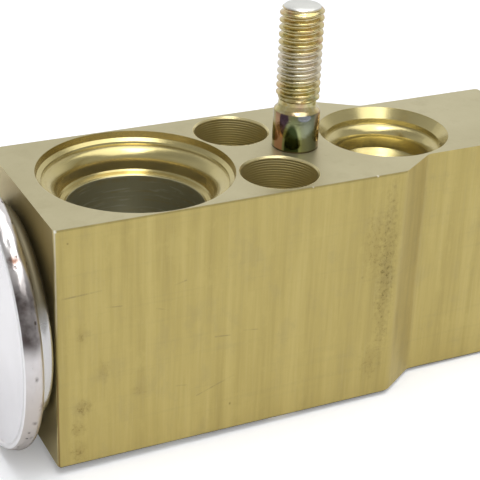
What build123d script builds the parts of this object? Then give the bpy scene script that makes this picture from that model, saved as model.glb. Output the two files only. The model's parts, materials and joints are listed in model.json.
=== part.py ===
from build123d import *
import os
from math import radians, sqrt, tan

TINY = 0.01

# Thermostatic expansion valve, block type. Millimetres, +Z up.
# X runs along the valve axis, from the power head to the adjusting screw.
# The origin lies on the evaporator face, midway between the two mounting holes.

# ---- Block ----
# Its length follows from the passages, the spring and the screw inside it.
block_width = 26.5
block_height = 34.3
nose_width = 18.8            # width of the narrowed spring end
taper_lead = 4.0             # taper start to the liquid inlet
taper_run = 5.7
taper_round = 2.0            # soft creases where the taper starts and ends
corner_round = 0.5
bottom_chamfer = 0.4

# ---- Mounting holes and stud ----
hole_radius = 5.09
hole_web = 0.55              # hole to the suction port's rim
hole_wall = 0.74             # hole to the block's side
hole_chamfer = 0.2
stud_offset = 6.1            # stud to the line of the mounting holes
stud_radius = 2.95
stud_thread_length = 12.9
stud_neck_length = 1.2
stud_neck_radius = 2.65
collar_radius = 3.14
collar_length = 5.6
collar_seat_depth = 0.5
stud_tip_chamfer = 0.6
stud_end_length = 9.0        # threaded end inside the block
stud_hole_depth = 10.0
stud_fit = 0.02

# ---- Suction passage, straight through the block ----
suction_wall = 0.2           # port rim to the block's side
suction_margin = 2.8         # port rim to the head end face
suction_rim_depth = 0.9
suction_rim_taper = 0.2
suction_ledge_width = 0.55
suction_ledge_drop = 0.35
suction_step_width = 0.1
suction_step_depth = 0.25
suction_shelf_width = 0.2
suction_lip_round = 1.85
suction_seat_depth = 4.45
suction_seat_width = 0.95
suction_seat_drop = 0.6
suction_seat_bevel = 0.2
suction_lower_depth = 5.0
port_chamfer = 1.2           # lead-in of the two ports on the evaporator face

# ---- Liquid inlet, on the tube plate face ----
inlet_offset = 3.5
inlet_rim_radius = 9.1
inlet_cone_width = 1.05
inlet_cone_depth = 1.4
inlet_step_width = 0.1
inlet_step_depth = 0.6
inlet_lip_round = 1.65
inlet_port_depth = 5.2
inlet_passage_radius = 2.8
drill_point_slope = 31.0     # floor of both liquid ports, down towards the passage

# ---- Liquid outlet, on the evaporator face ----
outlet_web = 0.88            # mounting hole to the outlet's lead-in
outlet_port_radius = 6.1
outlet_port_depth = 5.2
outlet_passage_radius = 3.0

# ---- Valve bore, drilled along X from both ends ----
head_recess_depth = 1.3
hub_bore_radius = 8.0
hub_bore_depth = 5.5
vapour_hole_radius = 4.5
seal_pocket_radius = 2.9
pocket_offset = 4.0
pin_radius = 1.15
pin_clearance = 0.1
orifice_radius = 1.5
seat_offset = 5.5
seat_land_radius = 2.4
chamber_cone_length = 1.5
chamber_radius = 5.4
tapped_lead = 0.1            # start of the tapped bore to the screw's thread, screw fully in
tapped_radius = 6.0
tapped_chamfer = 0.8

# ---- Power head (distances are outward from the head end face) ----
head_gap = 0.5               # block face to the flat of the lower cup
shell_wall = 1.0
cup_bend = 1.1
cup_flare = 1.2
flange_inset = 0.25          # flange edge to the level of the block's faces
flange_width = 2.3
flange_drop = 2.9            # block face to the lower flange
diaphragm_wall = 0.2
wave_gap = 0.2               # stop plate edge to the first wave
wave_pitch = 0.75
wave_height = 0.15
wave_count = 3
lid_wall = 1.2
lid_recess = 0.55
bead_height = 1.3
bead_front_width = 0.55
bead_overlap = 0.15
fill_hole_radius = 1.0
plug_head_radius = 1.9
plug_head_height = 0.6
seal_play = 0.08             # hub to the ring seal
seal_width = 1.7
seal_bevel = 0.4
seal_squeeze = 0.02

# ---- Moving stem ----
stroke = 0.8
stem_clearance = 0.05
plate_margin = 2.6           # stop plate edge to the cup's wall
plate_wall = 1.4
plate_rim_width = 1.6
plate_dish = 0.4
rod_radius = 2.6
rod_tenon_radius = 2.0
rod_end_gap = 0.9            # rod end to the seal retainer
rod_tip_chamfer = 0.4
hub_rod_clearance = 0.5
pin_hole_depth = 9.0
ball_radius = 2.0
ball_gap = 0.03
carrier_radius = 4.9
carrier_length = 2.6
carrier_front = 0.65         # ball centre to the carrier's front face
carrier_groove_radius = 4.2
carrier_lip = 0.6
spigot_radius = 2.8
spigot_length = 3.5
damper_radial_play = 0.06
damper_side_play = 0.05
damper_slot = 1.4

# ---- Seal round the push pin ----
retainer_wall = 0.6
retainer_hole_radius = 1.7
retainer_slot = 0.5
retainer_slots = 6
lip_seal_gap = 0.1
lip_groove_depth = 1.2
lip_groove_width = 0.5
seal_fit = 0.05

# ---- Spring and adjusting screw ----
wire_radius = 0.6
wire_sides = 8               # flats that stand for the round wire
coil_radius = 3.85
coil_turns = 4
spring_length = 9.4
spring_play = 0.05
spring_cup_gap = 0.2
spring_cup_depth = 2.0
screw_nose_clearance = 0.1
screw_thread_fit = 0.05
screw_thread_length = 5.2
screw_recess = 1.4           # screw face to the spring end face
screw_travel = 1.0
groove_web = 0.7             # spring cup to the ring groove
groove_land = 2.1            # ring groove to the thread
groove_width = 2.0
groove_radius = 4.1
ring_radial_play = 0.04
hex_across_flats = 5.0
hex_depth = 4.0
screw_chamfer = 0.5

# ---- Places and sizes that follow ----
axis_z = block_height / 2
valve_axis = Axis((0, 0, axis_z), (1, 0, 0))
hole_spread = block_width - 2 * (hole_radius + hole_wall)
suction_rim_radius = block_width / 2 - suction_wall
suction_wall_radius = suction_rim_radius - suction_rim_taper
suction_ledge_radius = suction_wall_radius - suction_ledge_width
suction_shelf_radius = suction_ledge_radius - suction_step_width
suction_lip_radius = suction_shelf_radius - suction_shelf_width
suction_port_radius = suction_lip_radius - suction_lip_round
suction_radius = suction_port_radius - suction_seat_width
suction_to_holes = sqrt(
    (suction_rim_radius + hole_web + hole_radius) ** 2 - (hole_spread / 2) ** 2
)
suction_x = -suction_to_holes
head_x = suction_x - suction_rim_radius - suction_margin
stud_x = stud_offset
pocket_end = -pocket_offset
outlet_x = sqrt(
    (outlet_port_radius + port_chamfer + outlet_web + hole_radius) ** 2
    - (hole_spread / 2) ** 2
)
seat_x = outlet_x + seat_offset
inlet_x = seat_x + inlet_offset
taper_x = inlet_x - taper_lead
inlet_cone_radius = inlet_rim_radius - inlet_cone_width
inlet_lip_radius = inlet_cone_radius - inlet_step_width
inlet_port_radius = inlet_lip_radius - inlet_lip_round
drill_rise = tan(radians(drill_point_slope))
inlet_floor_drop = (inlet_port_radius - inlet_passage_radius) * drill_rise
outlet_floor_rise = (outlet_port_radius - outlet_passage_radius) * drill_rise
flange_radius = axis_z - flange_inset
cup_radius = flange_radius - flange_width
plate_radius = cup_radius - shell_wall - plate_margin
wave_start = plate_radius + wave_gap
bead_outer_radius = flange_radius + bead_height
bead_front_radius = flange_radius + bead_front_width
cup_face = head_x - head_gap
cup_inside = cup_face - shell_wall
flange_face = head_x - flange_drop
flange_top = flange_face - shell_wall
diaphragm_top = flange_top - diaphragm_wall
lid_front = diaphragm_top - lid_wall
hub_end = head_x + hub_bore_depth - head_gap
head_recess_radius = hub_bore_radius + seal_play + seal_width + seal_squeeze
rod_start = flange_top + stem_clearance
plate_face = rod_start + plate_wall
pocket_x = suction_x + sqrt(suction_radius**2 - seal_pocket_radius**2)
retainer_x = pocket_x + rod_end_gap / 2
rod_end = retainer_x - stroke - rod_end_gap / 2
ball_x = seat_x + sqrt(ball_radius**2 - orifice_radius**2) + ball_gap
pin_end = ball_x - ball_radius
carrier_x = ball_x + carrier_front
carrier_back = carrier_x + carrier_length
spring_x = carrier_back + spring_play
spring_end = spring_x + spring_length
spring_cup_floor = spring_end + spring_play
screw_nose = spring_cup_floor - spring_cup_depth
groove_x = spring_cup_floor + groove_web
thread_x = groove_x + groove_width + groove_land
tapped_x = thread_x - screw_travel - tapped_lead
screw_end = thread_x + screw_thread_length
end_x = screw_end + screw_recess
collar_top = block_height + collar_length
neck_top = collar_top + stud_neck_length
stud_top = neck_top + stud_thread_length

os.makedirs("parts", exist_ok=True)


def along_axis(points):
    """Closed half profile for turning about the valve axis, from (x, radius) pairs."""
    with BuildSketch(Plane.XZ) as profile:
        with BuildLine():
            Polyline([(x, axis_z + radius) for x, radius in points], close=True)
        make_face()
    return profile.sketch


# ---- Block ----
with BuildPart() as valve_block:
    with BuildSketch() as outline:
        with BuildLine():
            Polyline(
                (head_x, -block_width / 2),
                (taper_x, -block_width / 2),
                (taper_x + taper_run, -nose_width / 2),
                (end_x, -nose_width / 2),
                (end_x, nose_width / 2),
                (taper_x + taper_run, nose_width / 2),
                (taper_x, block_width / 2),
                (head_x, block_width / 2),
                close=True,
            )
        make_face()
        corners = outline.vertices().group_by(Axis.X)
        fillet(corners[1] + corners[2], taper_round)
        ends = outline.vertices().group_by(Axis.X)
        fillet(ends[0] + ends[-1], corner_round)
    extrude(amount=block_height)
    chamfer(valve_block.faces().sort_by(Axis.Z)[0].outer_wire().edges(), bottom_chamfer)

    # Suction passage: stepped port above, plain lead-in below.
    with BuildSketch(Plane.XZ):
        wall_z = block_height - suction_rim_depth
        ledge_z = wall_z - suction_ledge_drop
        shelf_z = ledge_z - suction_step_depth
        seat_top = block_height - suction_seat_depth
        seat_z = seat_top - suction_seat_drop
        with BuildLine():
            Polyline(
                (suction_x, block_height),
                (suction_x + suction_rim_radius, block_height),
                (suction_x + suction_wall_radius, wall_z),
                (suction_x + suction_ledge_radius, ledge_z),
                (suction_x + suction_shelf_radius, shelf_z),
                (suction_x + suction_lip_radius, shelf_z),
            )
            CenterArc(
                (suction_x + suction_lip_radius, shelf_z - suction_lip_round),
                suction_lip_round,
                90,
                90,
            )
            Polyline(
                (suction_x + suction_port_radius, shelf_z - suction_lip_round),
                (suction_x + suction_port_radius, seat_top),
                (
                    suction_x + suction_port_radius - suction_seat_bevel,
                    seat_top - suction_seat_bevel,
                ),
                (suction_x + suction_radius + suction_seat_bevel, seat_z + suction_seat_bevel),
                (suction_x + suction_radius, seat_z),
                (suction_x + suction_radius, suction_lower_depth),
                (suction_x + suction_port_radius, suction_lower_depth),
                (suction_x + suction_port_radius, port_chamfer),
                (suction_x + suction_port_radius + port_chamfer, 0),
                (suction_x, 0),
                (suction_x, block_height),
            )
        make_face()
    revolve(axis=Axis((suction_x, 0, 0), (0, 0, 1)), mode=Mode.SUBTRACT)

    # Liquid inlet: bevelled rim, short step and rounded lip, then a drilled passage.
    with BuildSketch(Plane.XZ):
        cone_z = block_height - inlet_cone_depth
        step_z = cone_z - inlet_step_depth
        floor_z = block_height - inlet_port_depth
        with BuildLine():
            Polyline(
                (inlet_x, block_height),
                (inlet_x + inlet_rim_radius, block_height),
                (inlet_x + inlet_cone_radius, cone_z),
                (inlet_x + inlet_lip_radius, step_z),
            )
            CenterArc(
                (inlet_x + inlet_lip_radius, step_z - inlet_lip_round),
                inlet_lip_round,
                90,
                90,
            )
            Polyline(
                (inlet_x + inlet_port_radius, step_z - inlet_lip_round),
                (inlet_x + inlet_port_radius, floor_z),
                (inlet_x + inlet_passage_radius, floor_z - inlet_floor_drop),
                (inlet_x + inlet_passage_radius, axis_z),
                (inlet_x, axis_z),
                (inlet_x, block_height),
            )
        make_face()
    revolve(axis=Axis((inlet_x, 0, 0), (0, 0, 1)), mode=Mode.SUBTRACT)

    # Liquid outlet, drilled from below to just past the valve axis.
    with BuildSketch(Plane.XZ):
        with BuildLine():
            Polyline(
                (outlet_x, 0),
                (outlet_x + outlet_port_radius + port_chamfer, 0),
                (outlet_x + outlet_port_radius, port_chamfer),
                (outlet_x + outlet_port_radius, outlet_port_depth),
                (outlet_x + outlet_passage_radius, outlet_port_depth + outlet_floor_rise),
                (outlet_x + outlet_passage_radius, axis_z + orifice_radius),
                (outlet_x, axis_z + orifice_radius),
                close=True,
            )
        make_face()
    revolve(axis=Axis((outlet_x, 0, 0), (0, 0, 1)), mode=Mode.SUBTRACT)

    # Valve bore, from the head's thread to the adjusting screw's thread.
    add(
        along_axis(
            [
                (head_x, 0),
                (head_x, head_recess_radius),
                (head_x + head_recess_depth, head_recess_radius),
                (head_x + head_recess_depth, hub_bore_radius),
                (head_x + hub_bore_depth, hub_bore_radius),
                (head_x + hub_bore_depth, vapour_hole_radius),
                (suction_x, vapour_hole_radius),
                (suction_x, seal_pocket_radius),
                (pocket_end, seal_pocket_radius),
                (pocket_end, pin_radius + pin_clearance),
                (outlet_x, pin_radius + pin_clearance),
                (outlet_x, orifice_radius),
                (seat_x, orifice_radius),
                (seat_x, seat_land_radius),
                (seat_x + chamber_cone_length, chamber_radius),
                (tapped_x, chamber_radius),
                (tapped_x, tapped_radius),
                (end_x - tapped_chamfer, tapped_radius),
                (end_x, tapped_radius + tapped_chamfer),
                (end_x, 0),
            ]
        )
    )
    revolve(axis=valve_axis, mode=Mode.SUBTRACT)

    # Mounting holes and the stud's tapped hole.
    with Locations((0, 0, block_height)):
        with GridLocations(0, hole_spread, 1, 2):
            Hole(hole_radius, depth=block_height)
    rims = valve_block.edges(Select.LAST).filter_by(GeomType.CIRCLE).group_by(Axis.Z)
    chamfer(rims[0] + rims[-1], hole_chamfer)
    with Locations((stud_x, 0, block_height)):
        CounterBoreHole(
            stud_radius + stud_fit, collar_radius + stud_fit, collar_seat_depth, stud_hole_depth
        )

valve_block.part.label = "valve_block"
export_step(valve_block.part, "parts/valve_block.step")

# ---- Stud ----
with BuildPart() as mounting_stud:
    with BuildSketch(Plane.XZ):
        with BuildLine():
            Polyline(
                (stud_x, block_height - stud_end_length),
                (stud_x + stud_radius - stud_tip_chamfer, block_height - stud_end_length),
                (stud_x + stud_radius, block_height - stud_end_length + stud_tip_chamfer),
                (stud_x + stud_radius, block_height - collar_seat_depth),
                (stud_x + collar_radius, block_height - collar_seat_depth),
                (stud_x + collar_radius, collar_top),
                (stud_x + stud_neck_radius, neck_top),
                (stud_x + stud_radius, neck_top),
                (stud_x + stud_radius, stud_top - stud_tip_chamfer),
                (stud_x + stud_radius - stud_tip_chamfer, stud_top),
                (stud_x, stud_top),
                close=True,
            )
        make_face()
    revolve(axis=Axis((stud_x, 0, 0), (0, 0, 1)))

mounting_stud.part.label = "mounting_stud"
export_step(mounting_stud.part, "parts/mounting_stud.step")

# ---- Power head: lower cup ----
with BuildPart() as head_base:
    with BuildSketch(Plane.XZ):
        with BuildLine():
            Polyline(
                (cup_face, axis_z + hub_bore_radius),
                (cup_face, axis_z + cup_radius),
                (flange_face, axis_z + cup_radius),
                (flange_face, axis_z + flange_radius),
                (flange_top, axis_z + flange_radius),
                (flange_top, axis_z + cup_radius - shell_wall),
                (cup_inside, axis_z + cup_radius - shell_wall),
                (cup_inside, axis_z + hub_bore_radius),
                close=True,
            )
        make_face()
    revolve(axis=valve_axis)
    creases = head_base.edges().filter_by(GeomType.CIRCLE)
    outer = creases.filter_by(lambda edge: abs(edge.radius - cup_radius) < TINY)
    fillet(outer.sort_by(Axis.X)[-1], cup_bend)
    fillet(outer.sort_by(Axis.X)[0], cup_flare)

head_base.part.label = "head_base"
export_step(head_base.part, "parts/head_base.step")

# ---- Power head: lid, thinned inside to hold the charge ----
with BuildPart() as head_lid:
    add(
        along_axis(
            [
                (lid_front, fill_hole_radius),
                (lid_front, flange_radius),
                (diaphragm_top, flange_radius),
                (diaphragm_top, cup_radius),
                (diaphragm_top - lid_recess, cup_radius - lid_recess),
                (diaphragm_top - lid_recess, fill_hole_radius),
            ]
        )
    )
    revolve(axis=valve_axis)

head_lid.part.label = "head_lid"
export_step(head_lid.part, "parts/head_lid.step")

# ---- Power head: plug in the charge hole ----
with BuildPart() as fill_plug:
    add(
        along_axis(
            [
                (lid_front - plug_head_height, 0),
                (lid_front - plug_head_height, plug_head_radius - plug_head_height / 2),
                (lid_front - plug_head_height / 2, plug_head_radius),
                (lid_front, plug_head_radius),
                (lid_front, fill_hole_radius),
                (diaphragm_top - lid_recess, fill_hole_radius),
                (diaphragm_top - lid_recess, 0),
            ]
        )
    )
    revolve(axis=valve_axis)

fill_plug.part.label = "fill_plug"
export_step(fill_plug.part, "parts/fill_plug.step")

# ---- Power head: corrugated diaphragm ----
with BuildPart() as diaphragm:
    middle_x = flange_top - diaphragm_wall / 2
    with BuildSketch(Plane.XZ):
        with BuildLine() as wave:
            wave_points = [
                (
                    middle_x + (wave_height if step % 2 else -wave_height),
                    axis_z + wave_start + step * wave_pitch / 2,
                )
                for step in range(2 * wave_count)
            ]
            Polyline(
                (middle_x, axis_z),
                (middle_x, axis_z + wave_start - wave_pitch / 2),
                *wave_points,
                (middle_x, axis_z + wave_start + wave_count * wave_pitch),
                (middle_x, axis_z + flange_radius),
            )
        trace(line_width=diaphragm_wall)
        # The centre line's ends are squared off on the axis and at the rim.
        with Locations((middle_x, axis_z + flange_radius / 2)):
            Rectangle(4 * wave_pitch, flange_radius, mode=Mode.INTERSECT)
    revolve(axis=valve_axis)

diaphragm.part.label = "diaphragm"
export_step(diaphragm.part, "parts/diaphragm.step")

# ---- Power head: weld bead round the rim ----
with BuildPart() as rim_weld_bead:
    bead_front = lid_front - bead_overlap
    bead_back = flange_face + bead_overlap
    with BuildSketch(Plane.XZ):
        with BuildLine():
            Line((bead_back, axis_z + flange_radius), (bead_front, axis_z + flange_radius))
            Line((bead_front, axis_z + flange_radius), (bead_front, axis_z + bead_front_radius))
            ThreePointArc(
                (bead_front, axis_z + bead_front_radius),
                ((bead_front + bead_back) / 2, axis_z + bead_outer_radius),
                (bead_back, axis_z + flange_radius),
            )
        make_face()
    revolve(axis=valve_axis)

rim_weld_bead.part.label = "rim_weld_bead"
export_step(rim_weld_bead.part, "parts/rim_weld_bead.step")

# ---- Power head: threaded hub ----
with BuildPart() as head_hub:
    add(
        along_axis(
            [
                (cup_inside, rod_radius + hub_rod_clearance),
                (cup_inside, hub_bore_radius),
                (hub_end - head_gap, hub_bore_radius),
                (hub_end, hub_bore_radius - head_gap),
                (hub_end, rod_radius + hub_rod_clearance),
            ]
        )
    )
    revolve(axis=valve_axis)

head_hub.part.label = "head_hub"
export_step(head_hub.part, "parts/head_hub.step")

# ---- Ring seal under the head, bevelled on all four corners ----
with BuildPart() as head_seal:
    with BuildSketch(Plane.XZ) as seal_section:
        seal_front = cup_face + seal_squeeze
        seal_back = head_x + head_recess_depth - seal_squeeze
        seal_outside = head_recess_radius - seal_squeeze
        with Locations(
            ((seal_front + seal_back) / 2, axis_z + seal_outside - seal_width / 2)
        ):
            Rectangle(seal_back - seal_front, seal_width)
        chamfer(seal_section.vertices(), seal_bevel)
    revolve(axis=valve_axis)

head_seal.part.label = "head_seal"
export_step(head_seal.part, "parts/head_seal.step")

# ---- Stem: stop plate, dished under the diaphragm ----
with BuildPart() as stop_plate:
    add(
        along_axis(
            [
                (rod_start, rod_tenon_radius),
                (rod_start, plate_radius),
                (plate_face - plate_dish, plate_radius),
                (plate_face, plate_radius - plate_rim_width),
                (plate_face, rod_tenon_radius),
            ]
        )
    )
    revolve(axis=valve_axis)

stop_plate.part.label = "stop_plate"
export_step(stop_plate.part, "parts/stop_plate.step")

# ---- Stem: sensing rod, drilled for the push pin ----
with BuildPart() as sensing_rod:
    add(
        along_axis(
            [
                (rod_start, 0),
                (rod_start, rod_tenon_radius),
                (plate_face, rod_tenon_radius),
                (plate_face, rod_radius),
                (rod_end - rod_tip_chamfer, rod_radius),
                (rod_end, rod_radius - rod_tip_chamfer),
                (rod_end, pin_radius),
                (rod_end - pin_hole_depth, pin_radius),
                (rod_end - pin_hole_depth, 0),
            ]
        )
    )
    revolve(axis=valve_axis)

sensing_rod.part.label = "sensing_rod"
export_step(sensing_rod.part, "parts/sensing_rod.step")

# ---- Stem: push pin ----
with BuildPart() as push_pin:
    add(
        along_axis(
            [
                (rod_end - pin_hole_depth, 0),
                (rod_end - pin_hole_depth, pin_radius),
                (pin_end, pin_radius),
                (pin_end, 0),
            ]
        )
    )
    revolve(axis=valve_axis)

push_pin.part.label = "push_pin"
export_step(push_pin.part, "parts/push_pin.step")

# ---- Stem: ball ----
with BuildPart() as valve_ball:
    with Locations((ball_x, 0, axis_z)):
        Sphere(ball_radius)

valve_ball.part.label = "valve_ball"
export_step(valve_ball.part, "parts/valve_ball.step")

# ---- Stem: ball carrier with a socket, a ring groove and a spring spigot ----
with BuildPart() as ball_carrier:
    with BuildSketch(Plane.XZ):
        socket_radius = sqrt(ball_radius**2 - carrier_front**2)
        with BuildLine():
            Polyline(
                (carrier_x, axis_z + socket_radius),
                (carrier_x, axis_z + carrier_radius),
                (carrier_x + carrier_lip, axis_z + carrier_radius),
                (carrier_x + carrier_lip, axis_z + carrier_groove_radius),
                (carrier_back - carrier_lip, axis_z + carrier_groove_radius),
                (carrier_back - carrier_lip, axis_z + carrier_radius),
                (carrier_back, axis_z + carrier_radius),
                (carrier_back, axis_z + spigot_radius),
                (carrier_back + spigot_length, axis_z + spigot_radius),
                (carrier_back + spigot_length, axis_z),
                (ball_x + ball_radius, axis_z),
            )
            RadiusArc(
                (ball_x + ball_radius, axis_z),
                (carrier_x, axis_z + socket_radius),
                -ball_radius,
            )
        make_face()
    revolve(axis=valve_axis)

ball_carrier.part.label = "ball_carrier"
export_step(ball_carrier.part, "parts/ball_carrier.step")

# ---- Stem: split ring that rubs on the chamber wall ----
with BuildPart() as damper_ring:
    ring_front = carrier_x + carrier_lip + damper_side_play
    ring_back = carrier_back - carrier_lip - damper_side_play
    add(
        along_axis(
            [
                (ring_front, carrier_groove_radius + damper_side_play),
                (ring_front, chamber_radius - damper_radial_play),
                (ring_back, chamber_radius - damper_radial_play),
                (ring_back, carrier_groove_radius + damper_side_play),
            ]
        )
    )
    revolve(axis=valve_axis)
    with Locations(((ring_front + ring_back) / 2, 0, axis_z - chamber_radius)):
        Box(carrier_length, damper_slot, chamber_radius, mode=Mode.SUBTRACT)

damper_ring.part.label = "damper_ring"
export_step(damper_ring.part, "parts/damper_ring.step")

# ---- Seal round the push pin, with its retaining washer ----
with BuildPart() as seal_retainer:
    with BuildSketch(Plane.YZ.offset(retainer_x)):
        with Locations((0, axis_z)):
            Circle(seal_pocket_radius)
            Circle(retainer_hole_radius, mode=Mode.SUBTRACT)
            with PolarLocations(retainer_hole_radius, retainer_slots):
                Rectangle(2 * retainer_slot, retainer_slot, mode=Mode.SUBTRACT)
    extrude(amount=retainer_wall)

seal_retainer.part.label = "seal_retainer"
export_step(seal_retainer.part, "parts/seal_retainer.step")

with BuildPart() as rod_seal:
    seal_front = retainer_x + retainer_wall + lip_seal_gap
    seal_back = pocket_end
    seal_inner = pin_radius + seal_fit
    seal_outer = seal_pocket_radius - seal_fit
    groove_middle = (seal_inner + seal_outer) / 2
    add(
        along_axis(
            [
                (seal_front, seal_inner),
                (seal_front, groove_middle - lip_groove_width / 2),
                (seal_front + lip_groove_depth, groove_middle),
                (seal_front, groove_middle + lip_groove_width / 2),
                (seal_front, seal_outer),
                (seal_back, seal_outer),
                (seal_back, seal_inner),
            ]
        )
    )
    revolve(axis=valve_axis)

rod_seal.part.label = "rod_seal"
export_step(rod_seal.part, "parts/rod_seal.step")

# ---- Spring, with ends ground flat ----
with BuildPart() as bias_spring:
    with BuildLine() as coil:
        Helix(
            pitch=(spring_length + wire_radius) / coil_turns,
            height=spring_length + wire_radius,
            radius=coil_radius,
            center=(spring_x - wire_radius / 2, 0, axis_z),
            direction=(1, 0, 0),
        )
    with BuildSketch(Plane(coil.line @ 0, z_dir=coil.line % 0)):
        RegularPolygon(wire_radius, wire_sides)
    sweep(path=coil.line, is_frenet=True)
    with Locations(((spring_x + spring_end) / 2, 0, axis_z)):
        Box(spring_length, 4 * coil_radius, 4 * coil_radius, mode=Mode.INTERSECT)

bias_spring.part.label = "bias_spring"
export_step(bias_spring.part, "parts/bias_spring.step")

# ---- Adjusting screw: spring cup, ring groove, thread and hexagon socket ----
with BuildPart() as adjusting_screw:
    spring_cup_radius = coil_radius + wire_radius + spring_cup_gap
    nose_radius = chamber_radius - screw_nose_clearance
    thread_radius = tapped_radius - screw_thread_fit
    add(
        along_axis(
            [
                (spring_cup_floor, 0),
                (spring_cup_floor, spring_cup_radius),
                (screw_nose, spring_cup_radius),
                (screw_nose, nose_radius),
                (groove_x, nose_radius),
                (groove_x, groove_radius),
                (groove_x + groove_width, groove_radius),
                (groove_x + groove_width, nose_radius),
                (thread_x, nose_radius),
                (thread_x, thread_radius),
                (screw_end - screw_chamfer, thread_radius),
                (screw_end, thread_radius - screw_chamfer),
                (screw_end, 0),
            ]
        )
    )
    revolve(axis=valve_axis)
    with BuildSketch(Plane.YZ.offset(screw_end)):
        with Locations((0, axis_z)):
            RegularPolygon(hex_across_flats / 2, 6, major_radius=False)
    extrude(amount=-hex_depth, mode=Mode.SUBTRACT)

adjusting_screw.part.label = "adjusting_screw"
export_step(adjusting_screw.part, "parts/adjusting_screw.step")

# ---- Ring seal on the adjusting screw ----
with BuildPart() as adjuster_seal:
    ring_inner = groove_radius + ring_radial_play
    ring_outer = chamber_radius - ring_radial_play
    with BuildSketch(Plane.XZ):
        with Locations((groove_x + groove_width / 2, axis_z + (ring_inner + ring_outer) / 2)):
            Circle((ring_outer - ring_inner) / 2)
    revolve(axis=valve_axis)

adjuster_seal.part.label = "adjuster_seal"
export_step(adjuster_seal.part, "parts/adjuster_seal.step")
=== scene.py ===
import json
import math

import bpy
from mathutils import Matrix, Vector, noise


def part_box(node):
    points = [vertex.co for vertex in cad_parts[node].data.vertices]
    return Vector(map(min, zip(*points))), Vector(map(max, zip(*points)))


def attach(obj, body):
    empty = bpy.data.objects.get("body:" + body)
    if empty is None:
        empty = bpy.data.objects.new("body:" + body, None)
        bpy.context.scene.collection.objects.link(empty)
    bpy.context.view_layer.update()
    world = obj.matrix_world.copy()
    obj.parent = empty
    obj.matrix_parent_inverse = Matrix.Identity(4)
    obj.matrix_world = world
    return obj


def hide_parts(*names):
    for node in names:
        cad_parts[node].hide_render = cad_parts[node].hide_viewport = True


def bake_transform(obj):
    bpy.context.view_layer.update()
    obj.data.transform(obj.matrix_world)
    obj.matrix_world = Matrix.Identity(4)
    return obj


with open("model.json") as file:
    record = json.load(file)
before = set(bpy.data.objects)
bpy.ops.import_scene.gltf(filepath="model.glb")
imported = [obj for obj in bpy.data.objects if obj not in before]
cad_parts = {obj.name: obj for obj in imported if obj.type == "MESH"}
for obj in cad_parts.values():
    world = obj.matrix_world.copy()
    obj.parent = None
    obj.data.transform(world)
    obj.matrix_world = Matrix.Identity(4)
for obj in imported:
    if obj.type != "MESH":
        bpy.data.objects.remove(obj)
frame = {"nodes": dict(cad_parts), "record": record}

MM = 0.001
TURN = 2.0 * math.pi
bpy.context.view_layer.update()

# ---- Sizes taken from the frame, in metres ----
BLOCK_LOW, BLOCK_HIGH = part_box("valve_block")
RIM_LOW, RIM_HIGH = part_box("rim_weld_bead")
SPRING_LOW, SPRING_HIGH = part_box("bias_spring")
MOUNTS = {mount["name"]: mount for mount in frame["record"]["mounts"]}


def mount_place(name):
    return Vector(MOUNTS[name]["pos_m"])


def mount_radius(name):
    return MOUNTS[name]["dims"]["r_mm"] * MM


AXIS_Z = (BLOCK_LOW.z + BLOCK_HIGH.z) / 2
TOP_Z = BLOCK_HIGH.z
SUCTION = mount_place("suction_outlet")
INLET = mount_place("liquid_inlet")
STUD = mount_place("stud")
HOLES = [mount_place("mounting_hole_left"), mount_place("mounting_hole_right")]
RIM_X = (RIM_LOW.x + RIM_HIGH.x) / 2

# ---- Stud sizes ----
THREAD_PITCH = 1.0 * MM
THREAD_DEPTH = 0.5 * MM
THREAD_RUN_IN = 1.2 * MM     # height over which the thread reaches its full depth
THREAD_AROUND = 96
THREAD_ROWS_PER_TURN = 18
THREAD_ROWS_FROM_NECK = 6.0  # rows that blend the neck into the thread
CREST_SHARE = 0.16           # share of half a turn that is flat crest
ROOT_SHARE = 0.8             # share of half a turn where the flat root starts
STUD_RADIUS = mount_radius("stud")
STUD_LOW, STUD_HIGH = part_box("mounting_stud")
COLLAR_RADIUS = (STUD_HIGH.x - STUD_LOW.x) / 2
COLLAR_TOP = TOP_Z + 5.6 * MM
COLLAR_EDGE = 0.35 * MM      # bevel round the collar's top
NECK_TOP = COLLAR_TOP + 1.2 * MM
NECK_RADIUS = 2.5 * MM
TIP_CHAMFER = 0.6 * MM

# ---- Bead sizes ----
BEAD_AROUND = 360
BEAD_ACROSS = 16
BEAD_DROP = 0.03 * MM        # top of the bead below the solid's
BEAD_SAG = 0.2 * MM          # depth of its slow ripple
BEAD_FINE_SAG = 0.03 * MM    # depth of its fine ripple
BEAD_STEP = 0.55 * MM        # front edge's height over the flange
BEAD_WIDTH_SHARE = 0.985
BEAD_SWELL = 0.62            # below 1 for a fuller profile than a parabola
BEAD_INSET = 0.02 * MM       # bead's inner rows from the ends of the solid
FLANGE_RADIUS = 16.9 * MM

# ---- Spring sizes ----
WIRE_RADIUS = 0.58 * MM
WIRE_AROUND = 16
COIL_PLAY = 0.03 * MM        # coil inside the solid's outer size
COIL_TURNS = 4
COIL_ROWS_PER_TURN = 48

SHARP_ANGLE = math.radians(50.0)

# ---- Camera, fitted to the block's and the ports' edges in the photo ----
CAMERA_PLACE = Vector((-83.084, -161.88, 112.25)) * MM
CAMERA_AZIMUTH = math.radians(-26.711)
CAMERA_DOWN = math.radians(26.683)
CAMERA_ROLL = math.radians(2.372)
FOCAL_PIXELS = 1470.9
FRAME_PIXELS = 480.0
SENSOR_WIDTH = 36.0

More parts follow.
